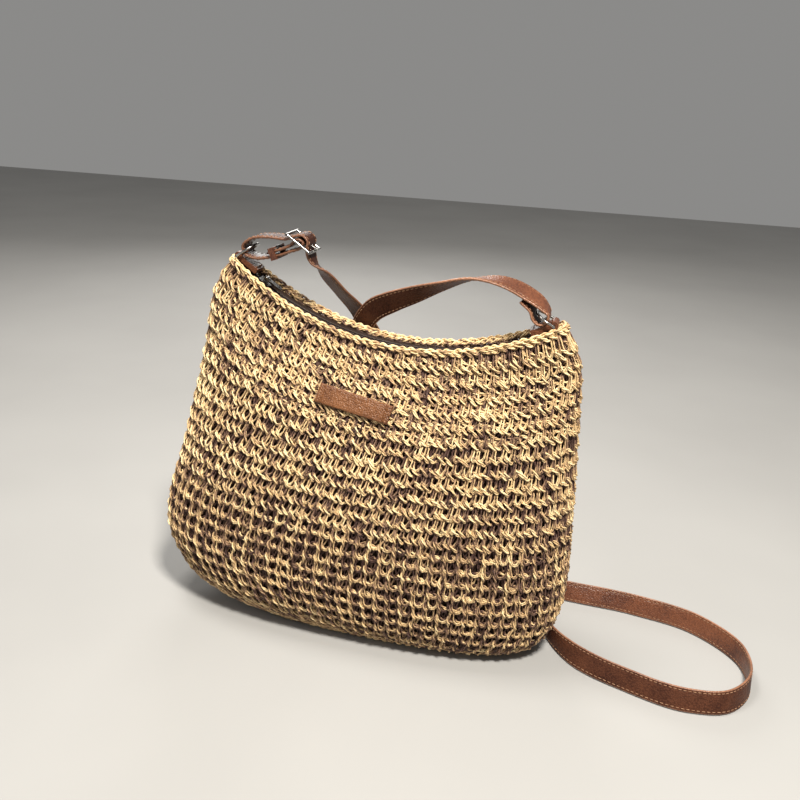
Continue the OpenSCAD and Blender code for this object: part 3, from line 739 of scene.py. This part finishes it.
def make_row(tubes, row):
    """One round of the side: fine slanted loops high up, wide upright ones with open gaps low down."""
    height = 1 - row / (ROWS - 1)
    upper = float(np.clip((height - LOW_END) / LOW_FADE, 0, 1))
    rough = 1.2 + 0.9 * upper
    down = FIRST_DOWN + (row + 0.5) * PITCH
    # Painted shade: rounds low on the body get lower tones than rounds high up, and the deeper ridges and
    # loops lower still
    shade = 0.16 * (upper - 0.72)
    turns = int(round(around(down) / FINE_PITCH / 2))
    if upper > 0.4:
        posts(tubes, down, PITCH, 2 * turns, samples=10, lean=0.45, rough=rough, size=0.52, shade=shade)
        ridge(tubes, down + 0.5 * PITCH, turns, amplitude=2.9, depth=-2.2, swing=1.4, rough=rough,
              shade=shade)
        if row < DENSE_ROWS:
            ridge(tubes, down + 0.1 * PITCH, turns, amplitude=1.7 - 0.1 * row, depth=-3.5, swing=0.7,
                  rough=rough, shade=shade - 0.1)
    else:
        posts(tubes, down, PITCH, STITCHES, samples=13, lean=0.05, rough=rough, size=0.60, shade=shade)
        ridge(tubes, down + 0.5 * PITCH, turns, amplitude=1.7, depth=-3.1, swing=1.0, rough=rough,
              shade=shade - 0.08)
        inner_loops(tubes, down, PITCH, 2 * turns, rough, shade - 0.12)


def make_rounds():
    for group in range(ROWS // ROWS_PER_PIECE):
        tubes = Tubes()
        for row in range(group * ROWS_PER_PIECE, (group + 1) * ROWS_PER_PIECE):
            make_row(tubes, row)
        place_crochet(tubes, f"crochet_rounds_{group + 1}")
    tubes = Tubes()
    ridge(tubes, 2.8, FIRST_TURNS, amplitude=1.5, depth=-2.0, swing=1.0, rough=1.0, shade=0.0)
    # The deeper ridge is painted darker: painted shade
    ridge(tubes, 3.4, FIRST_TURNS, amplitude=1.5, depth=-4.0, swing=0.9, rough=1.0, shade=-0.1)
    place_crochet(tubes, "crochet_first_round")


def make_ribs():
    """Ribs that run down through the loops, in front of the ridges low on the body and behind them above."""
    low = BODY.side_down + 0.3 * PITCH
    down = FIRST_DOWN + np.linspace(0, 1, (ROWS + 1) * 6) * (low - FIRST_DOWN)
    rows = (down - FIRST_DOWN) / PITCH
    wave = np.cos(TURN * rows)
    lower = np.clip((rows / ROWS - 0.38) / 0.22, 0, 1)
    for half in (0, 1):
        tubes = Tubes()
        for rib in range(half * STITCHES // 2, (half + 1) * STITCHES // 2):
            turn = (rib + 0.5 + 0.07 * np.sin(TURN * rows) + wobble(0.10, rows, ROWS + 2)) / STITCHES
            depth = -4.0 + lower * (2.9 + 0.6 * wave) + wobble(0.15, rows, ROWS + 2)
            # Painted shade: ribs are darker high up, where they lie behind the ridges, and darker where they
            # dip in, plus random tone
            tone = 0.2 + 0.3 * lower + wobble(0.18, rows, ROWS + 2) + 0.15 * lower * wave
            lay(tubes, turn, down, depth, 2, RIB_PLY_R, RIB_PLY_R, rows + rib * 0.37, tone, closed=False)
        place_crochet(tubes, f"crochet_ribs_{half + 1}")


def make_foot():
    """Rounds under the foot, closing to the foot's middle line."""
    tubes = Tubes()
    down = BODY.side_down + 0.5 * PITCH
    while down < BODY.down[-1]:
        stitches = int(round(around(down) / FOOT_STITCH))
        # Painted shade: the rounds under the foot get a lower tone
        posts(tubes, down, FOOT_PITCH, stitches, samples=13, lean=0.0, rough=0.8, size=0.6, shade=-0.1)
        ridge(tubes, down + 0.5 * FOOT_PITCH, max(stitches // 2, 4), amplitude=1.7, depth=-2.7, swing=0.95,
              rough=0.8, shade=-0.1)
        down += FOOT_STEP
    place_crochet(tubes, "crochet_foot")


RIM_PERIODS = 27
RIM_SAMPLES = 30
RIM_INSET = 2.2
RIM_PLY_R = 0.72
RIM_PLY_OUT = 0.64
# How far the braid's strands go up and down, and in and out
RIM_SWING, RIM_DEPTH = 1.9, 0.8


def make_rim():
    """Braid of three strands of two plies along the mouth's edge."""
    ring = even_ring(skin(ANGLES, 1.0, RIM_INSET, -RIM_INSET))
    outward = unit(np.cross(np.roll(ring, 1, 0) - np.roll(ring, -1, 0), (0.0, 0.0, 1.0)))
    tubes = Tubes()
    n = RIM_PERIODS * RIM_SAMPLES
    at = np.arange(n) / n * AROUND
    i0 = at.astype(int) % AROUND
    f = (at - np.floor(at))[:, None]
    center = ring[i0] * (1 - f) + ring[(i0 + 1) % AROUND] * f
    out = unit(outward[i0] * (1 - f) + outward[(i0 + 1) % AROUND] * f)
    tangent = unit(np.roll(center, -1, 0) - np.roll(center, 1, 0))
    up = unit(np.cross(out, tangent))
    up *= np.sign(up[:, 2:3])
    face = unit(out * 0.75 + up * 0.65)
    across = unit(np.cross(tangent, face))
    t = np.arange(n) / RIM_SAMPLES
    for strand in range(3):
        phase = TURN * (t + strand / 3) + wobble(0.25, t, RIM_PERIODS)
        middle = (center + (RIM_SWING * np.sin(phase))[:, None] * across
                  + (RIM_DEPTH * np.sin(2 * phase) + wobble(0.15, t, RIM_PERIODS))[:, None] * face)
        tone = 0.66 + wobble(0.15, t, RIM_PERIODS)
        heading = unit(np.roll(middle, -1, 0) - np.roll(middle, 1, 0))
        side = unit(np.cross(heading, face))
        for ply in (0.0, 0.5):
            angle = TURN * (t * 2 + ply)
            path = middle + RIM_PLY_OUT * (np.cos(angle)[:, None] * side + np.sin(angle)[:, None] * face)
            tubes.add(path, face, RIM_PLY_R, 6, closed=True, flat=0.85, turns=0.3, tone=tone + 0.2 * ply)
    return place(tubes.build("rim_braid", [STRAW]), "bag", "straw", "rim_edging")


LINING_TOP = 5.0
LINING_DEPTHS = (5.3, 6.1)
LINING_COLS, LINING_ROWS = 240, 90


def make_lining():
    """Cloth bag inside the crochet, slightly puckered, double sided."""
    cols, rows = LINING_COLS, LINING_ROWS
    turn = np.arange(cols) / cols
    down = np.linspace(LINING_TOP, BODY.down[-1] - 1.0, rows)
    tt, dd = np.meshgrid(turn, down)
    point, normal = BODY.at(tt, dd)
    pucker = 0.25 * np.sin(tt * TURN * 47 + dd * 0.12) + 0.2 * np.sin(dd * 0.31 + np.sin(tt * 31) * 2)
    settle = np.clip(dd / 14, 0, 1)
    layers = [point - (depth - 0.9 * (1 - settle) - pucker * settle)[..., None] * normal
              for depth in LINING_DEPTHS]
    verts = np.concatenate([layer.reshape(-1, 3) for layer in layers])
    outer = grid_quads(rows, cols, close_cols=True)
    inner = outer[:, ::-1] + rows * cols
    k = np.arange(cols)
    k2 = (k + 1) % cols
    top = np.stack([k, k2, k2 + rows * cols, k + rows * cols], -1)
    last = (rows - 1) * cols
    floor_out = [[last + a, last + (cols - a) % cols, last + (cols - a - 1) % cols, last + a + 1]
                 for a in range(cols // 2)]
    floor_out = np.array([f for f in floor_out if len(set(f)) == 4])
    floor_in = floor_out[:, ::-1] + rows * cols
    faces = np.concatenate([outer, inner, top, floor_out[:, ::-1], floor_in[:, ::-1]])
    return place(mesh_object("lining_cloth_bag", verts, faces, [LINING]), "bag", "lining_cloth", "lining")


make_rounds()
make_ribs()
make_foot()
make_rim()
make_lining()

# ------------------------------------------------------------------ label
# Its middle's station, distance right of the body's middle and turn, then its size and distance off the body
LABEL_V, LABEL_OFF, LABEL_TILT = 0.83, -13.3, math.radians(-10)
LABEL_W, LABEL_H, LABEL_T, LABEL_GAP = 60.0, 14.0, 2.2, 0.6
# How a distance along the label turns into stations: it follows the mouth's fall and curve
LABEL_RISE, LABEL_FALL, LABEL_CURVE = 257.0, 0.13, 0.0013
# The thinner strip at each end, and how far it lies below the middle
LABEL_END, END_DROP = 4.5, 0.7
LABEL_STITCH, LABEL_PITCH, LABEL_THREAD_R = 1.6, 2.16, 0.36


def label_angles(x, z):
    """Angle and station on the body under the label's point x, z."""
    c, s = math.cos(LABEL_TILT), math.sin(LABEL_TILT)
    u, w = x * c - z * s, x * s + z * c
    v = LABEL_V + (w + LABEL_FALL * u - LABEL_CURVE * u * u) / LABEL_RISE
    a = TURN - np.arccos(power((LABEL_OFF + u) / (form(1, v) * BODY_W / 2), form(7, v) / 2))
    return a, v


def over_skin(x, z, h):
    """The point at height h over the body under the label's point x, z."""
    a, v = label_angles(x, z)
    da = math.radians(1)
    normal = unit(np.cross(skin(a + da, v) - skin(a - da, v), skin(a, v + 0.01) - skin(a, v - 0.01)))
    return skin(a, v) + np.asarray(h)[..., None] * normal


def make_label():
    def stations(half):
        """Distances from -half to half, closer together near both ends."""
        edge = half - np.array([0.0, 0.25, 0.6, 1.1, 1.8])
        inner = np.linspace(-edge[-1], edge[-1], 3 + int(4 * half))[1:-1]
        return np.concatenate([-edge, inner, edge[::-1]])

    xx, zz = np.meshgrid(stations(LABEL_W / 2), stations(LABEL_H / 2))
    from_edge = np.minimum(LABEL_W / 2 - np.abs(xx), LABEL_H / 2 - np.abs(zz))
    dome = np.clip(from_edge / 1.3, 0, 1)
    top = LABEL_GAP + LABEL_T * (0.55 + 0.45 * np.sqrt(1 - (1 - dome) ** 2))
    past_line = np.abs(xx) - (LABEL_W / 2 - LABEL_END)
    top -= END_DROP * np.clip(past_line / 0.8 + 0.5, 0, 1)
    top -= 0.75 * np.exp(-(past_line / 0.55) ** 2)
    top += 0.06 * np.sin(xx * 0.7) * np.sin(zz * 0.9)
    low = np.full_like(top, LABEL_GAP)
    rows, cols = xx.shape
    verts = np.concatenate([over_skin(xx, zz, top).reshape(-1, 3), over_skin(xx, zz, low).reshape(-1, 3)])
    face = grid_quads(rows, cols, flip=True)
    n = rows * cols
    border = np.array([*range(cols), *[r * cols + cols - 1 for r in range(1, rows)],
                       *[(rows - 1) * cols + c for c in range(cols - 2, -1, -1)],
                       *[r * cols for r in range(rows - 2, 0, -1)]])
    nxt = np.roll(border, -1)
    sides = np.stack([border, border + n, nxt + n, nxt], -1)
    faces = np.concatenate([face, face[:, ::-1] + n, sides])
    mats = np.r_[np.zeros(len(face)), np.ones(len(face)), np.ones(len(sides))]
    return place(mesh_object("label_leather", verts, faces, [LEATHER_LABEL, LEATHER_EDGE], face_mat=mats),
                 "bag", "leather", "label")


def make_label_stitches():
    """A row of stitches down the middle of each end's strip."""
    tubes = Tubes()
    rise = LABEL_GAP + LABEL_T - END_DROP + np.array([-0.6, 0.0, 0.12, 0.0, -0.6])
    step = np.linspace(-LABEL_STITCH / 2, LABEL_STITCH / 2, len(rise))
    for end in (-1, 1):
        x = np.full(len(rise), end * (LABEL_W / 2 - LABEL_END / 2))
        for z in np.arange(-5.4, 5.5, LABEL_PITCH):
            tubes.add(over_skin(x, z + step, rise), (0.0, -1.0, 0.0), LABEL_THREAD_R, 6)
    return place(tubes.build("label_thread", [THREAD]), "bag", "thread", "label_stitches")


make_label()
make_label_stitches()

# ------------------------------------------------------------------ zip coils
# The mouth's edge is an arc round a centre above the bag. Angles along it are in degrees.
CORNER_HALF = STATIONS[-1, 1] * BODY_W / 2
RIM_R = (CORNER_HALF ** 2 + MOUTH_SAG ** 2) / (2 * MOUTH_SAG)
RIM_THICKNESS = 4.4
ARC_UP = RIM_R - MOUTH_SAG
TAPE_TOP_R = RIM_R + RIM_THICKNESS + 0.3
COIL_FROM, COIL_TO, COIL_TURNS = -29.1, 25.5, 150
COIL_SAMPLES = 12
COIL_R = TAPE_TOP_R - 0.8
WIRE_R, CORE_R = 0.26, 0.42


def on_arc(phi, radius, y):
    """World points at arc angles phi (degrees), radii and depths."""
    phi = np.radians(phi)
    x, z = radius * np.sin(phi), ARC_UP - radius * np.cos(phi)
    tilt = math.radians(MOUTH_TILT)
    return np.stack([LEAN + x * math.cos(tilt) + z * math.sin(tilt), np.broadcast_to(y, x.shape),
                     MOUTH_Z - x * math.sin(tilt) + z * math.cos(tilt)], -1)


def make_coils():
    """A spiral of plastic wire round a cord on each tape."""
    for side, node in ((-1, "zip_coil_front"), (1, "zip_coil_back")):
        tubes = Tubes()
        t = np.arange(COIL_TURNS * COIL_SAMPLES + 1) / COIL_SAMPLES
        phi = COIL_FROM + (COIL_TO - COIL_FROM) * t / COIL_TURNS
        wave = TURN * t
        radius = COIL_R + 0.5 * np.cos(wave)
        y = side * (2.05 - 0.75 * np.sin(wave))
        path = on_arc(phi, radius, y)
        tubes.add(path, unit(on_arc(phi, radius - 5, y) - path), WIRE_R, 6)
        core = on_arc(np.linspace(COIL_FROM, COIL_TO, 90), COIL_R, side * 2.3)
        tubes.add(core, (0.0, 0.0, 1.0), CORE_R, 6)
        place(tubes.build(node + "_teeth", [PLASTIC]), "bag", "zip_coil", node)


make_coils()

# ------------------------------------------------------------------ carried-over parts
FINISH = {
    "zip_tape_front": TAPE, "zip_tape_back": TAPE, "zip_top_stops": METAL, "zip_bottom_stop": METAL,
    "zip_slider": METAL, "zip_pull": METAL, "ring_tab_left": LEATHER, "ring_tab_right": LEATHER,
    "tab_stitches_left": THREAD, "tab_stitches_right": THREAD, "d_ring_left": METAL, "d_ring_right": METAL,
    "strap_keeper": LEATHER, "buckle_frame": METAL, "buckle_prong": METAL}
for node, finish in FINISH.items():
    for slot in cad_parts[node].material_slots:
        slot.material = finish

# ------------------------------------------------------------------ stage and light
FLOOR_HALF = 3.0
FLOOR_Z = -0.0006


def make_stage():
    mesh = bpy.data.meshes.new("floor")
    corners = [(x * FLOOR_HALF, y * FLOOR_HALF, FLOOR_Z) for x, y in ((-1, -1), (1, -1), (1, 1), (-1, 1))]
    mesh.from_pydata(corners, [], [(0, 1, 2, 3)])
    floor = link("floor", mesh)
    n = Nodes("floor_paint", (0.72, 0.71, 0.69), 0.7, specular=0.2)
    n.to("Base Color", n.ramp(n.noise(n.coords(), 3.0, 3.0, 0.5),
                              [(0.3, (0.33, 0.326, 0.318)), (0.7, (0.36, 0.356, 0.347))]))
    mesh.materials.append(n.mat)


def area_light(name, at, toward, size, energy, color):
    """A square light of a size in metres, turned towards a point."""
    data = bpy.data.lights.new(name, "AREA")
    data.size = size
    data.energy = energy
    data.color = color
    z = -unit(np.array(toward, float) - np.array(at, float))
    x = unit(np.cross((0.0, 0.0, 1.0), z))
    link(name, data).matrix_world = axes_matrix(x, np.cross(z, x), z, at)


def make_world(color, strength):
    world = bpy.data.worlds.new("world")
    world.use_nodes = True
    background = world.node_tree.nodes["Background"]
    background.inputs["Color"].default_value = (*color, 1)
    background.inputs["Strength"].default_value = strength
    bpy.context.scene.world = world


make_stage()
area_light("key", (0.45, -0.62, 1.45), (0.0, 0.0, 0.12), size=0.22, energy=44.0, color=(1.0, 0.95, 0.87))
area_light("fill", (-1.2, -0.8, 0.9), (0.0, 0.0, 0.15), size=0.9, energy=3.0, color=(1.0, 0.97, 0.93))
area_light("top", (-0.35, 0.0, 1.5), (0.0, 0.0, 0.1), size=0.4, energy=12.0, color=(1.0, 0.97, 0.92))
area_light("back", (-0.5, 1.3, 0.9), (0.0, 0.0, 0.14), size=0.7, energy=9.0, color=(1.0, 0.97, 0.93))
make_world((0.86, 0.85, 0.83), strength=0.3)
bpy.context.scene.view_settings.view_transform = "Standard"
